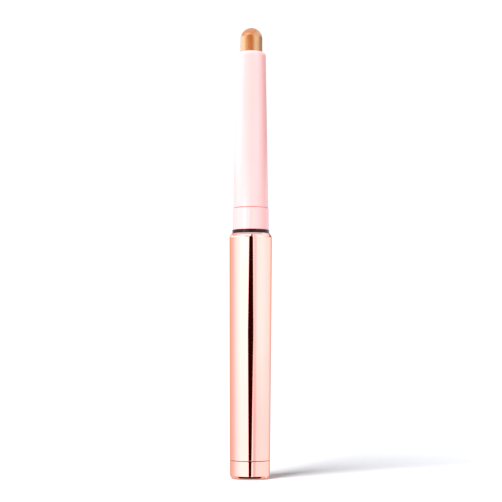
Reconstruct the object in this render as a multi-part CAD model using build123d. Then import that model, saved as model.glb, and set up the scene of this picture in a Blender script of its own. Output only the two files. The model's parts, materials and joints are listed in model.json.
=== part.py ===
from build123d import *
from math import floor
import os

# Twist-up cream eyeshadow stick, cap off, standing on its twist knob.
# The stick's axis is Z. z = 0 is the face the knob stands on, and +Z runs to the bullet's tip.
# Turning the knob turns a left-hand screw. A keyed nut climbs it and pushes rod, cup and bullet.
# Sizes are millimetres. Radial sizes build up from the screw outwards and from the bullet outwards.

# ---- heights, from the floor up
KNOB_HEIGHT = 5.24
SEAM_GAP = 0.20           # running gap between the knob's rim and the barrel sleeve
SLEEVE_LENGTH = 66.36
BAND_HEIGHT = 1.0         # black band that shows between sleeve and collar
COLLAR_HEIGHT = 6.4
NOZZLE_LENGTH = 47.0
BULLET_OUT = 7.5          # how far the bullet stands out of the nozzle at rest

# ---- bullet, cup and nozzle
BULLET_D = 6.6
BULLET_CLEARANCE = 0.11   # bullet in the nozzle's bore, each side
CUP_CLEARANCE = 0.08      # cup in the nozzle's bore, each side
CUP_WALL = 0.36
CUP_DEPTH = 5.0
CUP_FLOOR = 3.0
CUP_RIB_HEIGHT = 0.35
CUP_RIB_WIDTH = 0.5
CUP_RIBS = 4
HIDE_DEPTH = 0.75         # bullet tip below the nozzle's rim when fully down
RIM_MARGIN = 1.0          # cup rim below the nozzle's rim when fully up
CUP_PARK_GAP = 2.25       # cup above the housing's neck when fully down
NOZZLE_TIP_WALL = 0.93
NOZZLE_SOCKET_WALL = 0.72
LIP_HEIGHT = 1.3          # rounded lip of the nozzle
LIP_LAND = 0.1            # flat left at the lip's inner edge
EDGE_ROUND = 0.12         # small rounding that makes the seams read as fine lines

# ---- screw, nut and rod
SPINDLE_D = 3.1
THREAD_LEAD = 3.0
THREAD_DEPTH = 0.45
THREAD_ROOT_WIDTH = 1.2
THREAD_CREST_WIDTH = 0.6
THREAD_CLEARANCE = 0.15   # nut groove larger than the screw's ridge, radially and along the axis
THREAD_RUNOUT = 0.5       # screw past the nut when the nut is at its top
SPINDLE_TIP = 0.8
SHANK_LENGTH = 6.6
FLANGE_OVERHANG = 0.65    # spindle flange past the crest
FLANGE_HEIGHT = 1.0
ROD_BORE_CLEARANCE = 0.20
ROD_WALL = 0.95
ROD_CROWN = 3.0           # solid top of the rod
ROD_STUD_D = 3.2
ROD_STUD_LENGTH = 2.0
NUT_THREAD_LENGTH = 4.5
NUT_SOCKET_DEPTH = 2.0
NUT_WALL = 0.70           # nut past the rod
NUT_CLEARANCE = 0.10
KEY_HEIGHT = 0.50
KEY_WIDTH = 1.5
KEY_CLEARANCE = 0.10
KEYS = 2

# ---- housing, bushes, collar and sleeve
HOUSING_WALL = 1.25
SLEEVE_WALL = 1.1
SLEEVE_FLARE = 0.42       # sleeve radius gained from bottom to top
SLEEVE_CHAMFER_HEIGHT = 1.2
SLEEVE_CORNER_ROUND = 0.3
SHOULDER_DEPTH = 3.0      # how far the housing's shoulder sits down in the sleeve
ROD_CLEARANCE = 0.05      # rod in its bush
ROD_BUSH_LENGTH = 4.2
ROD_BUSH_STEP = 0.15      # bush past the housing's bore
NECK_WALL = 0.75
NECK_ABOVE_COLLAR = 5.0
SNAP_HEIGHT = 0.12        # bead that holds the nozzle on the neck
SNAP_LENGTH = 0.8
COLLAR_PROUD = 0.13       # collar past the nozzle's foot
BAND_PROUD = 0.17         # black band past the collar
FIT = 0.03                # pressed or glued pieces, each side
SAME = 0.001              # two heights closer than this are one height

# ---- knob and its bearing
KNOB_WALL = 0.9
KNOB_FLOOR = 1.3
KNOB_DRAFT = 0.04
KNOB_BOTTOM_ROUND = 0.9
KNOB_INSET = 0.24         # knob core below the knob's rim
KNOB_RIBS = 6
KNOB_RIB_WIDTH = 0.8
KNOB_RIB_HEIGHT = 0.3
LABEL_D = 8.6
LABEL_THICKNESS = 0.25
LABEL_RECESS = 0.30
AXIAL_PLAY = 0.10
TAIL_BUSH_WALL = 0.95
TAIL_BUSH_MARGIN = 0.10   # tail bush past the key grooves
TAIL_FLANGE = 0.6
BEARING_LENGTH = 3.7
BEARING_CLEARANCE = 0.05
BEAD_HEIGHT = 0.25
BEAD_LENGTH = 0.7
BEAD_CLEARANCE = 0.10
CORE_SLOT_WIDTH = 0.7
CORE_TOP_ABOVE_BEAD = 0.4
STOP_GAP = 0.25           # nut above the tail bush when fully down
TAIL_BUSH_RISE = 3.1      # tail bush above its bearing
RING_SECTION = 0.6        # drag ring's cord diameter
RING_CLEARANCE = 0.02
RING_GROOVE_HEIGHT = 0.8

# ---- radii that follow
spindle_r = SPINDLE_D / 2
thread_root_r = spindle_r - THREAD_DEPTH
rod_bore_r = spindle_r + ROD_BORE_CLEARANCE
rod_r = rod_bore_r + ROD_WALL
nut_r = rod_r + NUT_WALL
housing_bore_r = nut_r + NUT_CLEARANCE
groove_r = nut_r + KEY_HEIGHT + KEY_CLEARANCE
housing_r = housing_bore_r + HOUSING_WALL
rod_bush_r = housing_bore_r + ROD_BUSH_STEP
neck_bore_r = rod_bush_r + FIT
neck_r = neck_bore_r + NECK_WALL
socket_r = neck_r + FIT
nozzle_foot_r = socket_r + NOZZLE_SOCKET_WALL
collar_r = nozzle_foot_r + COLLAR_PROUD
band_r = collar_r + BAND_PROUD
sleeve_bottom_r = housing_r + FIT + SLEEVE_WALL
bullet_r = BULLET_D / 2
nozzle_bore_r = bullet_r + BULLET_CLEARANCE
nozzle_tip_r = nozzle_bore_r + NOZZLE_TIP_WALL
cup_r = nozzle_bore_r - CUP_CLEARANCE
cup_bore_r = cup_r - CUP_WALL
tail_bush_r = groove_r + TAIL_BUSH_MARGIN
tail_bore_r = tail_bush_r - TAIL_BUSH_WALL
journal_r = tail_bore_r - BEARING_CLEARANCE
bead_r = journal_r + BEAD_HEIGHT
flange_r = spindle_r + FLANGE_OVERHANG
ring_centre_r = tail_bore_r - RING_CLEARANCE - RING_SECTION / 2
knob_bore_r = sleeve_bottom_r - KNOB_DRAFT - KNOB_WALL

# ---- heights that follow
sleeve_bottom = KNOB_HEIGHT + SEAM_GAP
sleeve_top = sleeve_bottom + SLEEVE_LENGTH
band_top = sleeve_top + BAND_HEIGHT
collar_top = band_top + COLLAR_HEIGHT
neck_top = collar_top + NECK_ABOVE_COLLAR
nozzle_top = collar_top + NOZZLE_LENGTH
bullet_tip = nozzle_top + BULLET_OUT
core_top = KNOB_HEIGHT - KNOB_INSET
tail_flange_bottom = core_top + AXIAL_PLAY
tail = tail_flange_bottom + TAIL_FLANGE
bearing_top = tail + BEARING_LENGTH
tail_bush_top = bearing_top + TAIL_BUSH_RISE
bead_bottom = bearing_top + AXIAL_PLAY
journal_top = bead_bottom + BEAD_LENGTH + CORE_TOP_ABOVE_BEAD
retract = BULLET_OUT + HIDE_DEPTH
cup_bottom = neck_top + CUP_PARK_GAP + retract
bullet_base = cup_bottom + CUP_FLOOR
cup_rim = bullet_base + CUP_DEPTH
extend = nozzle_top - RIM_MARGIN - cup_rim
nut_bottom = tail_bush_top + STOP_GAP + retract
nut_top = nut_bottom + NUT_THREAD_LENGTH + NUT_SOCKET_DEPTH
groove_top = nut_top + extend + STOP_GAP
thread_top = nut_bottom + NUT_THREAD_LENGTH + extend + THREAD_RUNOUT
flange_bottom = KNOB_FLOOR + AXIAL_PLAY + SHANK_LENGTH
thread_bottom = flange_bottom + FLANGE_HEIGHT
ring_z = tail_flange_bottom + BEARING_LENGTH / 2


def sleeve_r(height):
    """Outer radius of the sleeve's cone at a height."""
    return sleeve_bottom_r + SLEEVE_FLARE * (height - sleeve_bottom) / SLEEVE_LENGTH


def turned(line):
    """Turn a closed outline, drawn as (radius, height), about the stick's axis."""
    return revolve(Plane.XZ * make_face(line), Axis.Z)


def disc(radius, bottom, top):
    """A solid cylinder on the axis between two heights."""
    return Pos(0, 0, bottom) * extrude(Circle(radius), top - bottom)


def tube(outer, inner, bottom, top):
    """A plain ring on the axis between two heights."""
    return disc(outer, bottom, top) - disc(inner, bottom, top)


def around(count, radius, width, depth, bottom, top):
    """Blocks spaced evenly round the axis, each one centred at a radius."""
    block = Box(depth, width, top - bottom, align=(Align.CENTER, Align.CENTER, Align.MIN))
    return [Pos(0, 0, bottom) * place * block for place in PolarLocations(radius, count)]


def rims(body, height, beyond):
    """The round edges of a body that lie at a height and outside a radius."""
    circles = body.edges().filter_by(GeomType.CIRCLE)
    return [e for e in circles if abs(e.arc_center.Z - height) < SAME and e.radius > beyond]


def left_hand_screw(core_r, ridge_r, root_width, crest_width, bottom, length):
    """A core with one left-hand ridge, a whole number of leads above the spindle's own."""
    turns_up = floor((bottom - thread_bottom) / THREAD_LEAD)
    start = thread_bottom + THREAD_LEAD * (turns_up + 0.5)
    bite = THREAD_DEPTH / 4
    flank = (root_width - crest_width) / (2 * (ridge_r - thread_root_r))
    foot = root_width / 2 + flank * bite
    section = Polyline(
        (thread_root_r - bite, -foot),
        (ridge_r, -crest_width / 2),
        (ridge_r, crest_width / 2),
        (thread_root_r - bite, foot),
        close=True,
    )
    path = Helix(THREAD_LEAD, length, thread_root_r, center=(0, 0, start), lefthand=True)
    face = Plane((0, 0, start), x_dir=(1, 0, 0), z_dir=(0, -1, 0)) * make_face(section)
    ridge = sweep(face, path=path, is_frenet=True)
    return disc(core_r, start - THREAD_LEAD / 2, start + length + THREAD_LEAD / 2) + ridge


def barrel_sleeve():
    """Mirror-finished outer tube: a slight cone with a bevelled top and a seat for the housing."""
    seat = sleeve_top - SHOULDER_DEPTH
    corner = sleeve_top - SLEEVE_CHAMFER_HEIGHT
    mouth_r = band_r + FIT
    body = turned(Polyline(
        (sleeve_bottom_r - SLEEVE_WALL, sleeve_bottom),
        (sleeve_bottom_r, sleeve_bottom),
        (sleeve_r(corner), corner),
        (mouth_r + LIP_LAND, sleeve_top),
        (mouth_r, sleeve_top),
        (mouth_r, seat),
        (sleeve_r(seat) - SLEEVE_WALL, seat),
        close=True,
    ))
    body = fillet(rims(body, corner, mouth_r), SLEEVE_CORNER_ROUND)
    return fillet(rims(body, sleeve_bottom, sleeve_bottom_r - SLEEVE_WALL / 2), EDGE_ROUND)


def inner_housing():
    """Black inner body: keyed bore for the nut, shoulder that shows as the band, and the neck."""
    seat = sleeve_top - SHOULDER_DEPTH
    snap = collar_top + NECK_ABOVE_COLLAR / 2
    body = disc(housing_r, tail, band_top) + disc(band_r, seat, band_top) + disc(neck_r, seat, neck_top)
    body += disc(neck_r + SNAP_HEIGHT, snap, snap + SNAP_LENGTH)
    body -= disc(housing_bore_r, tail, neck_top)
    body -= disc(tail_bush_r + FIT, tail, tail_bush_top)
    body -= disc(neck_bore_r, neck_top - ROD_BUSH_LENGTH, neck_top)
    slot_width = KEY_WIDTH + 2 * KEY_CLEARANCE
    slot_length = groove_r - spindle_r
    for slot in around(KEYS, groove_r - slot_length / 2, slot_width, slot_length, tail, groove_top):
        body -= slot
    return body


def tail_bush():
    """Bearing for the knob's journal, pressed into the housing's tail. Its top stops the nut."""
    body = disc(tail_bush_r, tail_flange_bottom, tail_bush_top) + disc(housing_r, tail_flange_bottom, tail)
    body -= disc(tail_bore_r, tail_flange_bottom, tail_bush_top)
    return body - disc(bead_r + BEAD_CLEARANCE, bearing_top, tail_bush_top)


def rod_bush():
    """Front guide for the rod, held between the housing's neck and the nozzle."""
    return tube(rod_bush_r, rod_r + ROD_CLEARANCE, neck_top - ROD_BUSH_LENGTH, neck_top)


def cap_collar():
    """Ring that the cap's mouth grips, round the neck between band and nozzle."""
    ring = tube(collar_r, neck_r + FIT, band_top, collar_top)
    edges = rims(ring, band_top, nozzle_foot_r) + rims(ring, collar_top, nozzle_foot_r)
    return fillet(edges, EDGE_ROUND)


def nozzle():
    """Tapered front tube: a socket on the neck, the bullet's bore and a rounded lip."""
    shoulder = neck_top + AXIAL_PLAY
    lip_foot = nozzle_top - LIP_HEIGHT
    land_r = nozzle_bore_r + LIP_LAND
    outline = Polyline(
        (land_r, nozzle_top),
        (nozzle_bore_r, nozzle_top),
        (nozzle_bore_r, shoulder),
        (socket_r, shoulder),
        (socket_r, collar_top),
        (nozzle_foot_r, collar_top),
        (nozzle_tip_r, lip_foot),
    )
    lip = EllipticalCenterArc(
        (land_r, lip_foot), nozzle_tip_r - land_r, LIP_HEIGHT, start_angle=0, arc_size=90
    )
    body = turned(outline + lip)
    snap = collar_top + NECK_ABOVE_COLLAR / 2
    body -= disc(socket_r + SNAP_HEIGHT, snap - FIT, snap + SNAP_LENGTH + FIT)
    return fillet(rims(body, collar_top, nozzle_foot_r - SAME), EDGE_ROUND)


def knob_cup():
    """Mirror-finished twist knob: a drafted cup with inner ribs and a label recess underneath."""
    bottom_r = sleeve_bottom_r - KNOB_DRAFT
    body = turned(Polyline(
        (0, 0),
        (bottom_r, 0),
        (sleeve_bottom_r, KNOB_HEIGHT),
        (0, KNOB_HEIGHT),
        close=True,
    ))
    body = fillet(rims(body, 0, knob_bore_r), min(KNOB_BOTTOM_ROUND, KNOB_WALL))
    body = fillet(rims(body, KNOB_HEIGHT, knob_bore_r), EDGE_ROUND)
    body -= disc(knob_bore_r, KNOB_FLOOR, KNOB_HEIGHT)
    body -= disc(LABEL_D / 2 + FIT, 0, LABEL_RECESS)
    ribs = around(KNOB_RIBS, knob_bore_r, KNOB_RIB_WIDTH, 2 * KNOB_RIB_HEIGHT, KNOB_FLOOR, core_top)
    for rib in ribs:
        body += rib & disc(bottom_r - KNOB_WALL / 2, KNOB_FLOOR, core_top)
    return body


def knob_core():
    """Black driver glued in the knob: hex socket for the spindle, ring groove and snap fingers."""
    body = disc(knob_bore_r - FIT, KNOB_FLOOR, core_top) + disc(journal_r, core_top, journal_top)
    body += disc(bead_r, bead_bottom, bead_bottom + BEAD_LENGTH)
    slots = around(
        KNOB_RIBS, knob_bore_r, KNOB_RIB_WIDTH + 2 * FIT, 2 * (KNOB_RIB_HEIGHT + FIT), KNOB_FLOOR, core_top
    )
    for slot in slots:
        body -= slot
    ring_half = RING_GROOVE_HEIGHT / 2
    groove_floor = ring_centre_r - RING_SECTION / 2 - RING_CLEARANCE
    body -= tube(bead_r, groove_floor, ring_z - ring_half, ring_z + ring_half)
    hexagon = RegularPolygon(spindle_r + FIT, 6)
    socket_floor = flange_bottom - SHANK_LENGTH - FIT
    body -= Pos(0, 0, socket_floor) * extrude(hexagon, flange_bottom - socket_floor)
    body -= disc(flange_r + FIT, flange_bottom, journal_top)
    for slit in around(2, 0, CORE_SLOT_WIDTH, 2 * bead_r, flange_bottom + FLANGE_HEIGHT / 2, journal_top):
        body -= slit
    return body


def spindle():
    """Left-hand screw with a hexagonal shank and a flange that seats in the knob core."""
    shank = Pos(0, 0, flange_bottom - SHANK_LENGTH) * extrude(RegularPolygon(spindle_r, 6), SHANK_LENGTH)
    length = thread_top - thread_bottom - THREAD_LEAD
    screw = left_hand_screw(
        thread_root_r, spindle_r, THREAD_ROOT_WIDTH, THREAD_CREST_WIDTH, thread_bottom, length
    )
    tip = disc(thread_root_r, thread_bottom, thread_top + SPINDLE_TIP)
    return shank + disc(flange_r, flange_bottom, thread_bottom) + tip + screw


def drag_ring():
    """Rubber ring in the journal's groove. Its drag gives the twist a smooth, damped feel."""
    return Pos(0, 0, ring_z) * Torus(ring_centre_r, RING_SECTION / 2)


def shade_label():
    """Blank round label in the recess under the knob."""
    return disc(LABEL_D / 2, LABEL_RECESS - LABEL_THICKNESS, LABEL_RECESS)


def drive_nut():
    """Nut with a left-hand thread, two keys that run in the housing, and a socket for the rod."""
    body = disc(nut_r, nut_bottom, nut_top)
    key_depth = KEY_HEIGHT + NUT_WALL / 2
    for key in around(KEYS, nut_r + KEY_HEIGHT - key_depth / 2, KEY_WIDTH, key_depth, nut_bottom, nut_top):
        body += key
    tap = left_hand_screw(
        thread_root_r + THREAD_CLEARANCE,
        spindle_r + THREAD_CLEARANCE,
        THREAD_ROOT_WIDTH + 2 * THREAD_CLEARANCE,
        THREAD_CREST_WIDTH + 2 * THREAD_CLEARANCE,
        nut_bottom - THREAD_LEAD,
        nut_top - nut_bottom + 2 * THREAD_LEAD,
    )
    body -= tap
    return body - disc(rod_r + FIT, nut_bottom + NUT_THREAD_LENGTH, nut_top)


def piston_rod():
    """Hollow rod that swallows the spindle as it goes down, closed at the top by a stud."""
    bottom = nut_bottom + NUT_THREAD_LENGTH
    body = disc(rod_r, bottom, cup_bottom) - disc(rod_bore_r, bottom, cup_bottom - ROD_CROWN)
    return body + disc(ROD_STUD_D / 2, cup_bottom, cup_bottom + ROD_STUD_LENGTH)


def cup_ribs():
    """Ribs rooted halfway into the cup's wall. The cup has them, and the bullet is cast round them."""
    depth = CUP_RIB_HEIGHT + CUP_WALL / 2
    middle_r = cup_bore_r - CUP_RIB_HEIGHT + depth / 2
    return around(CUP_RIBS, middle_r, CUP_RIB_WIDTH, depth, bullet_base, cup_rim)


def product_cup():
    """Cup that grips the bullet's foot with ribs and plugs onto the rod's stud."""
    body = disc(cup_r, cup_bottom, cup_rim) - disc(cup_bore_r, bullet_base, cup_rim)
    body -= disc(ROD_STUD_D / 2 + FIT, cup_bottom, cup_bottom + ROD_STUD_LENGTH + FIT)
    for rib in cup_ribs():
        body += rib
    return body


def product_bullet():
    """Cast cream eyeshadow: domed rod with a narrower foot that fills the cup."""
    dome = bullet_tip - bullet_r
    outline = Polyline(
        (0, bullet_tip),
        (0, bullet_base),
        (cup_bore_r, bullet_base),
        (cup_bore_r, cup_rim),
        (bullet_r, cup_rim),
        (bullet_r, dome),
    )
    body = turned(outline + CenterArc((0, dome), bullet_r, 0, 90))
    for rib in cup_ribs():
        body -= rib
    return body


PIECES = [
    barrel_sleeve, inner_housing, tail_bush, rod_bush, cap_collar, nozzle,
    knob_cup, knob_core, spindle, drag_ring, shade_label,
    drive_nut, piston_rod, product_cup, product_bullet,
]

os.makedirs("parts", exist_ok=True)
for piece in PIECES:
    export_step(piece(), f"parts/{piece.__name__}.step")

print(f"feed travel {extend:.2f} up, {retract:.2f} down, height {bullet_tip:.2f}")
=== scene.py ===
# %% [markdown]
# # A twist-up cream eyeshadow stick, dressed for a product picture
#
# The real object is a slim cosmetic stick that stands on its twist knob. A mirror rose gold
# barrel and knob, a black band, a pale pink collar and nozzle, and a domed bullet of pearl
# cream. Turning the knob feeds the bullet out.
#
# The CAD frame already holds every piece at its real size. Blender adds the looks. The round
# pieces that show are turned again here as lathe meshes, because a mirror finish shows every
# flaw in a mesh, and a lathe mesh has even rings and controlled edge roundings. The inner
# pieces keep their CAD shape and get a material.

# %% Load the frame
import json
from math import ceil, cos, pi, radians, sin, tan

import bmesh
import bpy
from mathutils import Matrix, Vector


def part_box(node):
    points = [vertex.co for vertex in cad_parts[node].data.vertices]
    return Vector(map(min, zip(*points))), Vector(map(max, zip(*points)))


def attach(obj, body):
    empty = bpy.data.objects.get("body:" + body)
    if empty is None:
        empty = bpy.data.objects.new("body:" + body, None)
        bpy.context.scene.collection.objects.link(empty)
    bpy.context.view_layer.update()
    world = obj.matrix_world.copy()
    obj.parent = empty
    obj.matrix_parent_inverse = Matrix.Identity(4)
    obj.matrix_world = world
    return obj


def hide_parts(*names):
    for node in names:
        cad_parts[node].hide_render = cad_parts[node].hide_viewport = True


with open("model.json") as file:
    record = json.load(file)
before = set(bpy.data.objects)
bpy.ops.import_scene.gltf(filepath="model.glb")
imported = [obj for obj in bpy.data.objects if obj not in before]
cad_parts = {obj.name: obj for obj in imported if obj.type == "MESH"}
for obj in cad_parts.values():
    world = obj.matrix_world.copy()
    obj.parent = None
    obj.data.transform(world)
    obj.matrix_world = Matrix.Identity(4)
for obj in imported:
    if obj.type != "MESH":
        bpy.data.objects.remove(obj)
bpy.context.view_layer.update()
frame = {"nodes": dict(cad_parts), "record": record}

scene = bpy.context.scene

# %% [markdown]
# ## Working in millimetres
#
# Blender's unit is the metre, but a maker thinks of a cosmetic stick in millimetres. The frame
# could be read in metres all through, but then every edge rounding would be a row of zeros.
# So sizes are read from the frame in millimetres, and only the mesh maker turns them back.

# %% Read sizes from the frame
MM = 0.001


def reach(node):
    """Largest radius, lowest height and highest height of a round CAD node, in millimetres."""
    low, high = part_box(node)
    return high.x / MM, low.z / MM, high.z / MM


sleeve_r, sleeve_low, sleeve_high = reach("barrel_sleeve")
knob_r, knob_low, knob_high = reach("knob_cup")
band_r = reach("inner_housing")[0]
neck_high = reach("inner_housing")[2]
collar_r, collar_low, collar_high = reach("cap_collar")
foot_r, nozzle_low, nozzle_high = reach("nozzle")
bullet_r, bullet_low, bullet_high = reach("product_bullet")
print(f"barrel {2 * knob_r:.2f} to {2 * sleeve_r:.2f} mm across, bullet {2 * bullet_r:.2f} mm")

# %% [markdown]
# ## One function for every shader node
#
# A material is a small graph. Each node is made the same way: choose the kind, set its
# options, then give each input either a number or another node's output. One helper does
# that, so the materials below read like a parts list.

# %% Node and colour helpers
def add(tree, kind, inputs=None, stops=None, **options):
    """Add a node, set its options, and give each input a value or a link."""
    node = tree.nodes.new(kind)
    for option, value in options.items():
        setattr(node, option, value)
    if stops:
        ramp = node.color_ramp
        while len(ramp.elements) < len(stops):
            ramp.elements.new(1.0)
        for element, (place, colour) in zip(ramp.elements, stops):
            element.position, element.color = place, colour
    for socket, value in (inputs or {}).items():
        if isinstance(value, bpy.types.NodeSocket):
            tree.links.new(value, node.inputs[socket])
        else:
            node.inputs[socket].default_value = value
    return node


def paint(hex_colour):
    """Turn an sRGB hex colour into the linear colour that shaders use."""
    parts = [int(hex_colour[i:i + 2], 16) / 255 for i in (0, 2, 4)]
    return [c / 12.92 if c <= 0.04045 else ((c + 0.055) / 1.055) ** 2.4 for c in parts] + [1.0]


def grain(size_mm):
    """Noise scale whose features are about this size, for coordinates in metres."""
    return 1 / (size_mm * MM)


def new_material(name):
    """An empty node material with its output node."""
    material = bpy.data.materials.new(name)
    material.use_nodes = True
    material.node_tree.nodes.clear()
    return material, material.node_tree


print("F6B39E in linear light:", [round(c, 3) for c in paint("F6B39E")[:3]])

# %% [markdown]
# ## Vacuum-metallised ABS, rose gold
#
# The barrel and the knob are ABS mouldings that get a flash of aluminium in a vacuum chamber
# and a tinted clear lacquer over it. It could be built as copper, but copper is redder and
# duller. A metallic shader in the lacquer's colour with a very low roughness gives the sharp
# mirror of metallising. Seen edge on, light runs a long way through the tinted lacquer, so the
# edges stay peach instead of going white, and the specular tint gives that. Sprayed lacquer
# never lies quite flat: the bump gives the mirror a faint, long waviness.

# %% Rose gold material
def rose_gold():
    material, tree = new_material("rose_gold_metallised_ABS")
    place = add(tree, "ShaderNodeTexCoord").outputs["Object"]
    stretch = add(tree, "ShaderNodeMapping", {"Vector": place, "Scale": (1, 1, 0.25)})
    # Lacquer flow: waves about 3 mm long round the tube, four times that along it.
    flow = add(tree, "ShaderNodeTexNoise", {
        "Vector": stretch.outputs[0], "Scale": grain(3.0), "Detail": 1.0})
    wave = add(tree, "ShaderNodeBump", {
        "Height": flow.outputs["Fac"], "Strength": 0.15, "Distance": 0.0006 * MM})
    # Handling haze: patches of 6 mm where the lacquer is a little less sharp.
    haze = add(tree, "ShaderNodeTexNoise", {"Vector": place, "Scale": grain(6.0), "Detail": 3.0})
    rough = add(tree, "ShaderNodeMapRange", {
        "Value": haze.outputs["Fac"], "From Min": 0.3, "From Max": 0.7,
        "To Min": 0.02, "To Max": 0.045})
    tint = add(tree, "ShaderNodeValToRGB", {"Fac": haze.outputs["Fac"]},
               stops=[(0.3, paint("F6B29D")), (0.7, paint("F5B09A"))])
    shader = add(tree, "ShaderNodeBsdfPrincipled", {
        "Base Color": tint.outputs["Color"], "Metallic": 1.0, "Roughness": rough.outputs["Result"],
        "Specular Tint": paint("F7CDBA"), "Normal": wave.outputs["Normal"]})
    add(tree, "ShaderNodeOutputMaterial", {"Surface": shader.outputs[0]})
    return material


rose_gold_metallised = rose_gold()
print("made", rose_gold_metallised.name)

# %% [markdown]
# ## Moulded ABS, blush pink, high gloss
#
# The nozzle and the collar come from polished steel moulds, so the plastic is glossy with no
# texture. It could be one flat pink, but pigment in a moulding always drifts a little, and a
# polished mould leaves soft, broad ripples. Both are kept very faint here.

# %% Blush pink material
def blush_abs():
    material, tree = new_material("blush_pink_moulded_ABS")
    place = add(tree, "ShaderNodeTexCoord").outputs["Object"]
    # Pigment drift: streaks about 5 mm across, drawn out along the flow of the melt.
    melt = add(tree, "ShaderNodeMapping", {"Vector": place, "Scale": (1, 1, 0.3)})
    drift = add(tree, "ShaderNodeTexNoise", {
        "Vector": melt.outputs[0], "Scale": grain(5.0), "Detail": 2.0})
    pink = add(tree, "ShaderNodeValToRGB", {"Fac": drift.outputs["Fac"]},
               stops=[(0.3, paint("F3B6B1")), (0.7, paint("F2B3AD"))])
    rough = add(tree, "ShaderNodeMapRange", {
        "Value": drift.outputs["Fac"], "From Min": 0.3, "From Max": 0.7,
        "To Min": 0.10, "To Max": 0.14})
    # Mould polish: ripples about 1.5 mm across.
    ripple = add(tree, "ShaderNodeTexNoise", {"Vector": place, "Scale": grain(1.5), "Detail": 1.0})
    bump = add(tree, "ShaderNodeBump", {
        "Height": ripple.outputs["Fac"], "Strength": 0.2, "Distance": 0.001 * MM})
    shader = add(tree, "ShaderNodeBsdfPrincipled", {
        "Base Color": pink.outputs["Color"], "Roughness": rough.outputs["Result"], "IOR": 1.54,
        "Normal": bump.outputs["Normal"]})
    add(tree, "ShaderNodeOutputMaterial", {"Surface": shader.outputs[0]})
    return material


blush_pink = blush_abs()
print("made", blush_pink.name)

# %% [markdown]
# ## Cast pearl cream
#
# The bullet is a wax and silicone cream, poured hot and filled with bronze mica. Mica flakes
# are tiny mirrors that lie roughly along the surface, so the cream has an orange-brown body
# and a broad, pale gold sheen over it. A metal shader would lose the body colour, and plain
# wax would lose the sheen. Mica's titania film has an index of about 2.4, so a high IOR with a
# medium roughness gives both. Real flakes are 0.05 mm, too fine to show, so the shimmer is
# drawn with grains of 0.3 mm.

# %% Pearl cream material
def pearl_cream():
    material, tree = new_material("cast_pearl_cream")
    place = add(tree, "ShaderNodeTexCoord").outputs["Object"]
    flakes = add(tree, "ShaderNodeTexNoise", {"Vector": place, "Scale": grain(0.3), "Detail": 3.0})
    # The mould's wall drags the cream as it sets: streaks 0.6 mm wide, eight times as long.
    drag = add(tree, "ShaderNodeMapping", {"Vector": place, "Scale": (1, 1, 0.12)})
    streaks = add(tree, "ShaderNodeTexNoise", {
        "Vector": drag.outputs[0], "Scale": grain(0.6), "Detail": 2.0})
    mixed = add(tree, "ShaderNodeMath", {
        0: flakes.outputs["Fac"], 1: streaks.outputs["Fac"]}, operation="ADD")
    body = add(tree, "ShaderNodeMapRange", {
        "Value": mixed.outputs[0], "From Min": 0.7, "From Max": 1.3})
    colour = add(tree, "ShaderNodeValToRGB", {"Fac": body.outputs["Result"]},
                 stops=[(0.0, paint("964A17")), (0.55, paint("9F501B")), (1.0, paint("A85A22"))])
    rough = add(tree, "ShaderNodeMapRange", {
        "Value": flakes.outputs["Fac"], "From Min": 0.3, "From Max": 0.7,
        "To Min": 0.19, "To Max": 0.28})
    bump = add(tree, "ShaderNodeBump", {
        "Height": mixed.outputs[0], "Strength": 0.22, "Distance": 0.02 * MM})
    shader = add(tree, "ShaderNodeBsdfPrincipled", {
        "Base Color": colour.outputs["Color"], "Roughness": rough.outputs["Result"], "IOR": 2.4,
        "Specular Tint": paint("FFFABE"), "Normal": bump.outputs["Normal"]})
    add(tree, "ShaderNodeOutputMaterial", {"Surface": shader.outputs[0]})
    return material


cream = pearl_cream()
print("made", cream.name)

# %% [markdown]
# ## The plain mouldings
#
# The inner pieces are ordinary plastics and one rubber ring. They could share one grey, but
# each real plastic has its own colour and gloss, and they show when the stick is taken apart.
# One recipe makes them all: a base colour with a little drift, and the fine satin texture
# that a spark-eroded mould leaves. That texture is 0.05 mm, drawn here at 0.2 mm so it shows.

# %% Moulded plastics and rubber
def moulding(name, light, dark, roughness, ior, texture, shine=0.5):
    """A moulded plastic: two hex colours, then the depth of its texture in millimetres."""
    material, tree = new_material(name)
    place = add(tree, "ShaderNodeTexCoord").outputs["Object"]
    drift = add(tree, "ShaderNodeTexNoise", {"Vector": place, "Scale": grain(4.0), "Detail": 3.0})
    colour = add(tree, "ShaderNodeValToRGB", {"Fac": drift.outputs["Fac"]},
                 stops=[(0.3, paint(dark)), (0.7, paint(light))])
    rough = add(tree, "ShaderNodeMapRange", {
        "Value": drift.outputs["Fac"], "From Min": 0.3, "From Max": 0.7,
        "To Min": roughness * 0.85, "To Max": roughness * 1.15})
    grit = add(tree, "ShaderNodeTexNoise", {"Vector": place, "Scale": grain(0.2), "Detail": 2.0})
    bump = add(tree, "ShaderNodeBump", {
        "Height": grit.outputs["Fac"], "Strength": 0.3, "Distance": texture * MM})
    shader = add(tree, "ShaderNodeBsdfPrincipled", {
        "Base Color": colour.outputs["Color"], "Roughness": rough.outputs["Result"], "IOR": ior,
        "Specular IOR Level": shine, "Normal": bump.outputs["Normal"]})
    add(tree, "ShaderNodeOutputMaterial", {"Surface": shader.outputs[0]})
    return material


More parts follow.
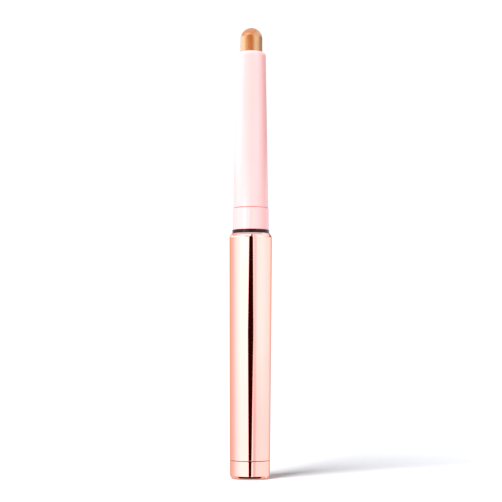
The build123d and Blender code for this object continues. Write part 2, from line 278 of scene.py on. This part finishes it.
# The black is tinted wine red, a painted reflection of the rose barrel, and its mirror is
# turned down, weaker than that of clean plastic, as painted shade for the band's recess
# between the barrel and the collar.
black_gloss = moulding("black_gloss_moulded_ABS", "290C11", "21080D", 0.16, 1.54, 0.0005, 0.12)
black_satin = moulding("black_satin_moulded_acetal", "221F20", "1A1819", 0.38, 1.48, 0.004)
natural_acetal = moulding("natural_satin_moulded_acetal", "EFEBE2", "E8E3D8", 0.35, 1.48, 0.003)
nitrile = moulding("black_nitrile_rubber", "242322", "1B1A1A", 0.6, 1.52, 0.006)
label_film = moulding("rose_coated_polypropylene_film", "E3C3B6", "DDBBAE", 0.3, 1.49, 0.001)
white_rod = moulding("white_moulded_polypropylene", "F1F0EC", "EAE8E3", 0.32, 1.49, 0.002)
milky_cup = moulding("milky_moulded_polypropylene", "E9E7E1", "DEDBD3", 0.28, 1.49, 0.002)
print("made", len(bpy.data.materials), "materials")

# %% [markdown]
# ## Turning an outline on the lathe
#
# Every outside piece is round, so each is an outline turned about the stick's axis, as on a
# lathe. A screw modifier would do it too, but then the rings can't be placed by hand. An
# outline is a list of corners, each with its own rounding. The rounding becomes a short arc,
# and a holding ring is set just past each end of it. The holding rings keep the long walls
# straight in the mirror, so that only the edge itself bends the reflections.

# %% Outline and lathe helpers
SEGMENTS = 192
ARC_STEP = radians(11)
HOLD = 0.12


def rounded(corners, closed=True):
    """Outline points from corners given as (radius, height, rounding), in millimetres."""
    points = []
    last = len(corners) - 1
    for i, (radius, height, rounding) in enumerate(corners):
        here = Vector((radius, height))
        if not rounding or (not closed and i in (0, last)):
            points.append(here)
            continue
        back = (Vector(corners[i - 1][:2]) - here).normalized()
        ahead = (Vector(corners[(i + 1) % len(corners)][:2]) - here).normalized()
        half = back.angle(ahead) / 2
        cut = rounding / tan(half)
        centre = here + (back + ahead).normalized() * rounding / sin(half)
        spoke = here + back * cut - centre
        side = 1 if spoke.x * (here - centre).y - spoke.y * (here - centre).x > 0 else -1
        turn = pi - 2 * half
        steps = max(2, ceil(turn / ARC_STEP))
        points.append(here + back * (cut + HOLD))
        for k in range(steps + 1):
            a = side * turn * k / steps
            points.append(centre + Vector((
                spoke.x * cos(a) - spoke.y * sin(a), spoke.x * sin(a) + spoke.y * cos(a))))
        points.append(here + ahead * (cut + HOLD))
    return points


def ring(builder, radius, height):
    """One ring of the lathe, or a single point on the axis."""
    if radius < 1e-4:
        return [builder.verts.new((0, 0, height * MM))]
    spots = [2 * pi * k / SEGMENTS for k in range(SEGMENTS)]
    return [builder.verts.new((radius * MM * cos(a), radius * MM * sin(a), height * MM))
            for a in spots]


def lathe(name, points, material, closed=True):
    """Turn an outline into a closed, smooth mesh object."""
    builder = bmesh.new()
    rings = [ring(builder, radius, height) for radius, height in points]
    pairs = list(zip(rings, rings[1:] + rings[:1]))
    for lower, upper in pairs if closed else pairs[:-1]:
        for k in range(SEGMENTS):
            n = (k + 1) % SEGMENTS
            if len(lower) == 1:
                builder.faces.new((lower[0], upper[n], upper[k]))
            elif len(upper) == 1:
                builder.faces.new((lower[k], lower[n], upper[0]))
            else:
                builder.faces.new((lower[k], lower[n], upper[n], upper[k]))
    bmesh.ops.recalc_face_normals(builder, faces=builder.faces)
    mesh = bpy.data.meshes.new(name)
    builder.to_mesh(mesh)
    builder.free()
    mesh.materials.append(material)
    mesh.shade_smooth()
    mesh.set_sharp_from_angle(angle=radians(35))
    piece = bpy.data.objects.new(name, mesh)
    scene.collection.objects.link(piece)
    print(f"{name}: {len(points)} rings, {len(mesh.polygons)} faces")
    return piece


def settle(piece, node):
    """Hand a finished piece to the frame: it rides with the node it stands for."""
    body = next(b for b, nodes in frame["record"]["behaviour"]["bodies"].items() if node in nodes)
    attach(piece, body)
    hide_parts(node)


print(SEGMENTS, "faces round each ring, edge arcs of", round(ARC_STEP * 180 / pi), "degrees")

# %% [markdown]
# ## The barrel sleeve
#
# The sleeve is a thin metallised tube that flares very slightly towards the top, where a
# bevel leads in to the black band. The bevel matters: it faces up, so it mirrors the ceiling.
# It is rolled in two slopes. The lower one catches the tops of the panels and reads as a
# white ring, and the upper one catches the dimmer ceiling and reads as a grey ring above it.

# %% Barrel sleeve
SLEEVE_WALL = 1.1
BEVEL_HEIGHT = 1.2
LOWER_SLOPE = radians(20)
LOWER_SHARE = 0.5
SEAT_DEPTH = 3.0
MOUTH_FLAT = 0.12
FIT = 0.03

mouth_r = band_r + FIT
bevel_foot = sleeve_high - BEVEL_HEIGHT
bevel_bend = bevel_foot + BEVEL_HEIGHT * LOWER_SHARE
bend_r = sleeve_r - BEVEL_HEIGHT * LOWER_SHARE * tan(LOWER_SLOPE)
seat = sleeve_high - SEAT_DEPTH
sleeve = lathe("barrel_mirror_sleeve", rounded([
    (knob_r - SLEEVE_WALL, sleeve_low, 0),
    (knob_r, sleeve_low, 0.02),
    (sleeve_r, bevel_foot, 0.5),
    (bend_r, bevel_bend, 0.4),
    (mouth_r + MOUTH_FLAT, sleeve_high, 0.05),
    (mouth_r, sleeve_high, 0.04),
    (mouth_r, seat, 0),
    (sleeve_r - SLEEVE_WALL, seat, 0),
]), rose_gold_metallised)
settle(sleeve, "barrel_sleeve")

# %% [markdown]
# ## The twist knob
#
# The knob continues the barrel's wall past a hair-thin running gap. Its foot is cut back in
# two slopes before the flat it stands on. A single quarter-round would be simpler, but the
# upper slope is turned down just enough to mirror a painted shade: a dark band in the painted
# room that stands in for the shaded table just in front of the foot. That draws the dark
# crescent that makes the stick look heavy and finished at its foot.

# %% Twist knob
KNOB_WALL = 0.9
KNOB_FLOOR = 1.3
RECESS_DEPTH = 0.3
BORE_DRAFT = 0.04
SLOPES_MEET = 0.36
SLOPE_TOP_CUT = 0.035
SLOPE_TOP_HEIGHT = 0.98
label_r = reach("shade_label")[0]
recess_r = label_r + FIT
knob_bore_r = knob_r - BORE_DRAFT - KNOB_WALL

knob = lathe("twist_knob", rounded([
    (0, RECESS_DEPTH, 0),
    (recess_r, RECESS_DEPTH, 0),
    (recess_r, knob_low, 0.05),
    (knob_bore_r, knob_low, 0.1),
    (knob_r - SLOPES_MEET, SLOPES_MEET, 0.2),
    (knob_r - SLOPE_TOP_CUT, SLOPE_TOP_HEIGHT, 0.06),
    (knob_r, knob_high, 0.02),
    (knob_bore_r, knob_high, 0.05),
    (knob_bore_r, KNOB_FLOOR, 0.2),
    (0, KNOB_FLOOR, 0),
], closed=False), rose_gold_metallised, closed=False)
settle(knob, "knob_cup")

# %% [markdown]
# ## The cap collar
#
# A plain pink ring that the missing cap would grip. Its edges are rounded by the same small
# amount as the mould would leave, so the seams above and below it show as fine lines.

# %% Cap collar
COLLAR_WALL = 0.85
COLLAR_EDGE = 0.12
neck_bore_r = collar_r - COLLAR_WALL
collar = lathe("cap_grip_collar", rounded([
    (neck_bore_r, collar_low, 0),
    (collar_r, collar_low, COLLAR_EDGE),
    (collar_r, collar_high, COLLAR_EDGE),
    (neck_bore_r, collar_high, 0),
]), blush_pink)
settle(collar, "cap_collar")

# %% [markdown]
# ## The nozzle
#
# The nozzle tapers from the collar to a soft lip round the bullet. It is hollow, because the
# bore shows when the bullet winds down. Its foot is stepped in just above the collar, which
# makes a small groove: light gets lost in it, and the seam reads as a thin darker line.

# %% Nozzle
LIP_HEIGHT = 1.3
TIP_WALL = 0.93
BORE_GAP = 0.11
LIP_LAND = 0.1
LIP_STEPS = 10
GROOVE_HEIGHT = 0.24
GROOVE_DEPTH = 0.34
SOCKET_GAP = 0.1

bore_r = bullet_r + BORE_GAP
tip_r = bore_r + TIP_WALL
land_r = bore_r + LIP_LAND
lip_foot = nozzle_high - LIP_HEIGHT
socket_top = neck_high + SOCKET_GAP
lip_arc = [pi / 2 * k / LIP_STEPS for k in range(LIP_STEPS + 1)]
lip = [Vector((land_r + (tip_r - land_r) * cos(a), lip_foot + LIP_HEIGHT * sin(a)))
       for a in lip_arc]
foot = rounded([
    (bore_r, nozzle_high, 0),
    (bore_r, socket_top, 0),
    (neck_bore_r, socket_top, 0),
    (neck_bore_r, nozzle_low, 0),
    (foot_r - GROOVE_DEPTH, nozzle_low, 0),
    (foot_r - GROOVE_DEPTH, nozzle_low + GROOVE_HEIGHT, 0),
    (foot_r, nozzle_low + GROOVE_HEIGHT, 0.08),
    (tip_r, lip_foot - HOLD, 0),
], closed=False)
nozzle = lathe("tapered_nozzle", foot + lip, blush_pink)
settle(nozzle, "nozzle")

# %% [markdown]
# ## The bullet
#
# The cream is cast in a round-ended mould and pressed into its cup. A lathe dome would be
# perfectly even. Real cast cream isn't: the surface has a slow, shallow unevenness, so each
# point is pressed in by up to a few hundredths of a millimetre. The foot is slimmer than the
# space between the cup's ribs.

# %% Bullet
CUP_WALL = 0.36
FOOT_GAP = 0.4
DOME_STEPS = 20
WALL_STEPS = 24
UNEVEN = 0.025
cup_rim = reach("product_cup")[2]
grip_r = reach("product_cup")[0] - CUP_WALL - FOOT_GAP
dome_foot = bullet_high - bullet_r
dome = [Vector((bullet_r * cos(a), dome_foot + bullet_r * sin(a)))
        for a in [pi / 2 * k / DOME_STEPS for k in range(DOME_STEPS + 1)]]
dome[-1].x = 0
wall = [Vector((bullet_r, cup_rim + (dome_foot - cup_rim) * k / WALL_STEPS))
        for k in range(WALL_STEPS)]
bullet = lathe("cream_bullet", [
    Vector((0, bullet_low)), Vector((grip_r, bullet_low)), Vector((grip_r, cup_rim)), *wall, *dome,
], cream, closed=False)
for vertex in bullet.data.vertices:
    x, y, z = vertex.co / MM
    if z > cup_rim - 0.01:
        dent = UNEVEN * (sin(0.9 * x + 0.35 * z) + sin(1.3 * y - 0.5 * z) - 2) / 4
        vertex.co += vertex.normal * dent * MM
settle(bullet, "product_bullet")

# %% [markdown]
# ## Dressing the inner pieces
#
# These pieces have the right shape from CAD: bushes, screw, nut, rod and ring. They are kept
# as they are, and each gets the material of the real plastic it would be moulded in.

# %% Finish the CAD pieces
FINISHES = {
    "inner_housing": black_gloss,
    "tail_bush": black_satin,
    "rod_bush": natural_acetal,
    "knob_core": black_satin,
    "spindle": natural_acetal,
    "drag_ring": nitrile,
    "shade_label": label_film,
    "drive_nut": natural_acetal,
    "piston_rod": white_rod,
    "product_cup": milky_cup,
}
for node, finish in FINISHES.items():
    slots = frame["nodes"][node].material_slots
    for material_slot in slots:
        material_slot.material = finish
    print(f"{node}: {finish.name}, {len(slots)} slot")

# %% [markdown]
# ## The floor
#
# A wide, plain white table, set a hair below the stick's foot so that the two faces don't
# flicker into each other. It is hidden from mirror rays, because the room that they see is
# painted further on, with its own table in it.

# %% Floor
def table_white():
    material, tree = new_material("matt_white_table")
    place = add(tree, "ShaderNodeTexCoord").outputs["Object"]
    paper = add(tree, "ShaderNodeTexNoise", {"Vector": place, "Scale": grain(40.0), "Detail": 2.0})
    white = add(tree, "ShaderNodeValToRGB", {"Fac": paper.outputs["Fac"]},
                stops=[(0.3, paint("D3D3D4")), (0.7, paint("D5D5D6"))])
    shader = add(tree, "ShaderNodeBsdfPrincipled", {
        "Base Color": white.outputs["Color"], "Roughness": 1.0, "Specular IOR Level": 0.0})
    add(tree, "ShaderNodeOutputMaterial", {"Surface": shader.outputs[0]})
    return material


TABLE_HALF = 4.0
TABLE_DROP = 0.02
signs = [(-1, -1), (1, -1), (1, 1), (-1, 1)]
table_mesh = bpy.data.meshes.new("table")
table_mesh.from_pydata(
    [(x * TABLE_HALF, y * TABLE_HALF, -TABLE_DROP * MM) for x, y in signs], [], [(0, 1, 2, 3)])
table_mesh.materials.append(table_white())
table = bpy.data.objects.new("table", table_mesh)
scene.collection.objects.link(table)
table.visible_glossy = False
print("table", 2 * TABLE_HALF, "m wide")

# %% [markdown]
# ## The studio that the mirror sees
#
# A mirror has almost no look of its own: it shows the room. The room could be built from real
# light panels, but they would stand in the way of the other views. So the room is painted on
# the world by direction, and only mirror rays see it. Directions are in degrees. A bearing is
# counted from the camera's side, positive to the right, and a rise is counted up from level.
#
# A ring of panels stands round the stick, a little dimmer at their feet, with a row of
# brighter ones just above. Each is a list of bearings with a brightness and a tint, and the
# light between two of them blends.

# %% Light panels
COOL = (0.97, 1.0, 1.21)
WARM = (1.0, 1.02, 0.90)
RING = [
    (-180, 0.60, COOL), (-168, 0.98, WARM), (-145, 1.06, WARM), (-118, 1.16, COOL),
    (-106, 1.22, COOL), (-96, 1.62, COOL), (-74, 2.00, COOL), (-54, 2.30, COOL), (0, 2.30, COOL),
    (3, 2.10, COOL), (15, 2.05, COOL), (19, 1.42, COOL), (28, 1.38, COOL), (38, 1.92, COOL),
    (72, 1.95, COOL), (98, 1.78, COOL), (132, 1.78, COOL), (150, 1.10, COOL), (168, 0.60, COOL),
]
FOOT_RING = [
    (-180, 0.60, COOL), (-168, 0.98, WARM), (-145, 1.06, WARM), (-118, 1.10, COOL),
    (-106, 1.12, COOL), (-96, 1.45, COOL), (-74, 1.84, COOL), (-54, 2.11, COOL), (0, 2.11, COOL),
    (3, 2.05, COOL), (15, 1.90, COOL), (19, 1.08, COOL), (28, 1.06, COOL), (38, 1.56, COOL),
    (72, 1.64, COOL), (98, 1.60, COOL), (132, 1.66, COOL), (150, 1.10, COOL), (168, 0.60, COOL),
]
UPPER_RING = [
    (-180, 0.50, COOL), (-150, 1.50, COOL), (-130, 3.20, COOL), (-84, 4.00, COOL),
    (-62, 1.80, COOL), (-48, 0.60, COOL), (6, 0.15, COOL), (24, 1.20, COOL), (42, 2.80, COOL),
    (60, 2.80, COOL), (84, 1.80, COOL), (104, 0.55, COOL), (160, 0.45, COOL),
]
PEAK = 4.0


def panels(stops):
    """Ramp stops round the stick: each colour is a share of the brightest panel."""
    return [((bearing + 180) / 360, [c * bright / PEAK for c in tint] + [1])
            for bearing, bright, tint in stops]


print("rings of", len(FOOT_RING), len(RING), "and", len(UPPER_RING), "panel edges")

# %% [markdown]
# ## Measuring a direction
#
# To place the other things in the room, the shader has to know how far each direction lies
# from them. Each line below is one sum: the name of its result, the operation, and the
# numbers or earlier results it works on. The angles come out in radians.
#
# - The strip light is a short tube at one bearing.
# - The flag is an oval, so its two distances are squared, each as a share of its half size.
# - The camera and its stand are widest at the height of the lens, and narrow above and below.
# - The painted shade in front of the foot is a dark band curved round the foot of the stick, so it
#   rises a little to each side.

# %% Distances
STRIP_BEARING = -40.5
STRIP_HALF_WIDTH = 9.5
STRIP_LOW, STRIP_HIGH = 4, 8
FLAG_BEARING, FLAG_RISE = -20, 22
FLAG_HALF_WIDTH, FLAG_HALF_HEIGHT = 27, 17
CAMERA_HALF_WIDTH = 15.5
CAMERA_TAPER = 1.15
CAMERA_OFFSET = 1.5
CAMERA_LEAN = 0.15
STAND_HALF_WIDTH = 5.0
EDGE_RISE = -64.5
EDGE_CURVE = 0.1
EDGE_HALF_HEIGHT = 9
EDGE_HALF_WIDTH = 92
SUMS = [
    ("front", "MULTIPLY", "back", -1.0),
    ("bearing", "ARCTAN2", "right", "front"),
    ("rise", "ARCSINE", "up"),
    ("round", "ABSOLUTE", "bearing"),
    ("tall", "ABSOLUTE", "rise"),
    ("strip_side", "SUBTRACT", "bearing", radians(STRIP_BEARING)),
    ("from_strip", "ABSOLUTE", "strip_side"),
    ("flag_side", "SUBTRACT", "bearing", radians(FLAG_BEARING)),
    ("flag_x", "DIVIDE", "flag_side", radians(FLAG_HALF_WIDTH)),
    ("flag_x_squared", "MULTIPLY", "flag_x", "flag_x"),
    ("flag_up", "SUBTRACT", "rise", radians(FLAG_RISE)),
    ("flag_y", "DIVIDE", "flag_up", radians(FLAG_HALF_HEIGHT)),
    ("from_flag", "MULTIPLY_ADD", "flag_y", "flag_y", "flag_x_squared"),
    ("camera_middle", "MULTIPLY_ADD", "rise", CAMERA_LEAN, radians(CAMERA_OFFSET)),
    ("camera_side", "SUBTRACT", "bearing", "camera_middle"),
    ("camera_aside", "ABSOLUTE", "camera_side"),
    ("taper", "MULTIPLY_ADD", "tall", -CAMERA_TAPER, radians(CAMERA_HALF_WIDTH)),
    ("camera_width", "MAXIMUM", "taper", radians(STAND_HALF_WIDTH)),
    ("from_camera", "SUBTRACT", "camera_aside", "camera_width"),
    ("bearing_squared", "MULTIPLY", "bearing", "bearing"),
    ("edge_middle", "MULTIPLY_ADD", "bearing_squared", EDGE_CURVE, radians(EDGE_RISE)),
    ("edge_up", "SUBTRACT", "rise", "edge_middle"),
    ("from_edge", "ABSOLUTE", "edge_up"),
]

world = scene.world = bpy.data.worlds.new("studio")
world.use_nodes = True
world.cycles.sampling_method = "NONE"
tree = world.node_tree
tree.nodes.clear()
direction = add(tree, "ShaderNodeTexCoord").outputs["Generated"]
along = add(tree, "ShaderNodeSeparateXYZ", {"Vector": direction})
known = {"right": along.outputs["X"], "back": along.outputs["Y"], "up": along.outputs["Z"]}
for name, operation, *terms in SUMS:
    inputs = {place: known.get(term, term) for place, term in enumerate(terms)}
    known[name] = add(tree, "ShaderNodeMath", inputs, operation=operation).outputs[0]
print("measured", len(SUMS), "things about a direction")

# %% [markdown]
# ## Masks
#
# A mask is 1 where a thing lies and 0 elsewhere, with a soft edge between. A hard edge would
# be simpler, but a real lamp seen in lacquer never has one. Each soft edge is given by the
# value where it starts and the value where it is full, in degrees. Then edges are multiplied
# together, so that a thing lies only where all its edges agree.

# %% Soft edges and masks
EDGES = [
    ("panel_feet", "rise", 0.5, -4.5),
    ("over_ring", "rise", 8, 10),
    ("under_row_top", "rise", 24, 20),
    ("near_strip", "from_strip", STRIP_HALF_WIDTH + 1, STRIP_HALF_WIDTH - 1),
    ("over_strip_foot", "rise", STRIP_LOW - 1, STRIP_LOW + 1),
    ("under_strip_top", "rise", STRIP_HIGH + 1, STRIP_HIGH - 1),
    ("camera", "from_camera", 1, -1),
    ("ceiling", "rise", 50, 56),
    ("table", "rise", -30, -38),
    ("near_edge", "from_edge", EDGE_HALF_HEIGHT + 1.5, EDGE_HALF_HEIGHT - 1.5),
    ("in_front", "round", EDGE_HALF_WIDTH + 8, EDGE_HALF_WIDTH - 8),
]
FLAG_FADE, FLAG_FULL = 1.2, 0.8
PRODUCTS = [
    ("upper_row", "over_ring", "under_row_top"),
    ("strip_heights", "over_strip_foot", "under_strip_top"),
    ("strip", "near_strip", "strip_heights"),
    ("flag", "near_flag", "over_ring"),
    # The painted shade in front of the foot: a band round the foot, only on the camera's side.
    ("table_contact_shade", "near_edge", "in_front"),
]
for name, measured, start, full in EDGES:
    known[name] = add(tree, "ShaderNodeMapRange", {
        "Value": known[measured], "From Min": radians(start), "From Max": radians(full)},
        interpolation_type="SMOOTHSTEP").outputs["Result"]
known["near_flag"] = add(tree, "ShaderNodeMapRange", {
    "Value": known["from_flag"], "From Min": FLAG_FADE, "From Max": FLAG_FULL}).outputs["Result"]
for name, first, second in PRODUCTS:
    known[name] = add(tree, "ShaderNodeMath", {
        0: known[first], 1: known[second]}, operation="MULTIPLY").outputs[0]
print(len(EDGES) + 1, "soft edges and", len(PRODUCTS), "products")

# %% [markdown]
# ## Painting the room in layers
#
# The room is laid down like paper cut-outs, from the back to the front. The lower ring of
# panels lies everywhere, and each layer covers what is under it where its mask is 1.
#
# - The hot strip light gives the black band its glint.
# - The grey flag keeps the middle of the bullet deep orange.
# - The camera draws the sharp dark line down the barrel.
# - The cool ceiling shows as a grey ring in the upper slope of the barrel's bevel.
# - A painted shade, a dark band standing in for the shaded table just in front of the foot, is
#   mirrored only in the knob's cut-back foot.
#
# Matt surfaces get a plain pale surround, and the camera sees white.

# %% Layers
DARK = (0.030, 0.0018, 0.0006, 1)
CEILING = (0.80, 1.15, 1.50, 1)
FLAG_GREY = (0.09, 0.08, 0.09, 1)
TABLE_PALE = (0.90, 0.90, 0.90, 1)
# Painted shade: a dark band standing in for the shaded table just in front of the foot, which the
# knob's foot mirrors as a dark crescent.
TABLE_CONTACT_SHADE = (0.010, 0.002, 0.001, 1)
SURROUND = (0.45, 0.445, 0.44, 1)
WHITE = (1, 1, 1, 1)
STRIP_STRENGTH = 7.0
BACKDROP_STRENGTH = 1.05

turn = add(tree, "ShaderNodeMapRange", {
    "Value": known["bearing"], "From Min": -pi, "From Max": pi}).outputs["Result"]
lower = add(tree, "ShaderNodeValToRGB", {"Fac": turn}, stops=panels(RING)).outputs["Color"]
feet = add(tree, "ShaderNodeValToRGB", {"Fac": turn}, stops=panels(FOOT_RING)).outputs["Color"]
upper = add(tree, "ShaderNodeValToRGB", {"Fac": turn}, stops=panels(UPPER_RING)).outputs["Color"]
LAYERS = [
    ("panel_feet", feet, PEAK),
    ("upper_row", upper, PEAK),
    ("strip", [*COOL, 1], STRIP_STRENGTH),
    ("flag", FLAG_GREY, 1.0),
    ("camera", DARK, 1.0),
    ("ceiling", CEILING, 1.0),
    ("table", TABLE_PALE, 1.0),
    # Painted shade in front of the foot, mirrored as the knob's dark crescent.
    ("table_contact_shade", TABLE_CONTACT_SHADE, 1.0),
]
room = add(tree, "ShaderNodeBackground", {"Color": lower, "Strength": PEAK})
for mask, colour, strength in LAYERS:
    light = add(tree, "ShaderNodeBackground", {"Color": colour, "Strength": strength})
    room = add(tree, "ShaderNodeMixShader", {
        0: known[mask], 1: room.outputs[0], 2: light.outputs[0]})

path = add(tree, "ShaderNodeLightPath")
surround = add(tree, "ShaderNodeBackground", {"Color": SURROUND, "Strength": 1.0})
backdrop = add(tree, "ShaderNodeBackground", {"Color": WHITE, "Strength": BACKDROP_STRENGTH})
lit = add(tree, "ShaderNodeMixShader", {
    0: path.outputs["Is Glossy Ray"], 1: surround.outputs[0], 2: room.outputs[0]})
seen = add(tree, "ShaderNodeMixShader", {
    0: path.outputs["Is Camera Ray"], 1: lit.outputs[0], 2: backdrop.outputs[0]})
add(tree, "ShaderNodeOutputWorld", {"Surface": seen.outputs[0]})
print("room of", len(LAYERS) + 1, "layers")

# %% [markdown]
# ## The key light and the fill
#
# One large soft light from the left, in front and above, shapes the matt and glossy plastics:
# white on the left, deeper pink on the right, and a soft grey shadow to the right on the
# table. A weak fill from the right keeps the shaded side clear. Both are suns with a wide
# angle, because a sun stays even over the table. They are hidden from mirror rays, because
# the panels already stand for them there.

# %% Key and fill lights
def wide_sun(name, strength, angle, azimuth, rise, colour):
    """A soft directional light from a bearing and a height, both in degrees."""
    data = bpy.data.lights.new(name, "SUN")
    data.energy, data.angle, data.color = strength * pi, radians(angle), colour
    lamp = bpy.data.objects.new(name, data)
    scene.collection.objects.link(lamp)
    lamp.rotation_euler = (radians(90 - rise), 0, radians(azimuth))
    lamp.visible_glossy = False
    print(name, "from", azimuth, "degrees, up", rise)


wide_sun("key_softbox", strength=1.62, angle=28, azimuth=-38, rise=44, colour=(0.97, 0.99, 1.06))
wide_sun("fill_softbox", strength=0.22, angle=40, azimuth=66, rise=25, colour=(1.0, 0.98, 0.98))

# %% [markdown]
# ## The camera
#
# A long lens from just under 40 cm keeps the stick's sides nearly parallel. The camera stands
# low, at the height of the barrel's middle, and looks slightly up, so the seams above it curve
# one way and the seams below it curve the other.

# %% Camera and picture settings
EYE = Vector((0.0001, -0.384, 0.0378))
PITCH = radians(4.3)
ROLL = radians(0.2)
LENS = 93.2
SENSOR_WIDTH = 36
camera_data = bpy.data.cameras.new("camera")
camera_data.lens = LENS
camera_data.sensor_width = SENSOR_WIDTH
camera_data.clip_start = 0.01
camera = bpy.data.objects.new("camera", camera_data)
scene.collection.objects.link(camera)
tilt = Matrix.Rotation(pi / 2 + PITCH, 4, "X")
camera.matrix_world = Matrix.Translation(EYE) @ tilt @ Matrix.Rotation(ROLL, 4, "Z")
scene.camera = camera
scene.view_settings.view_transform = "Standard"
print("camera at", tuple(round(v, 4) for v in EYE))
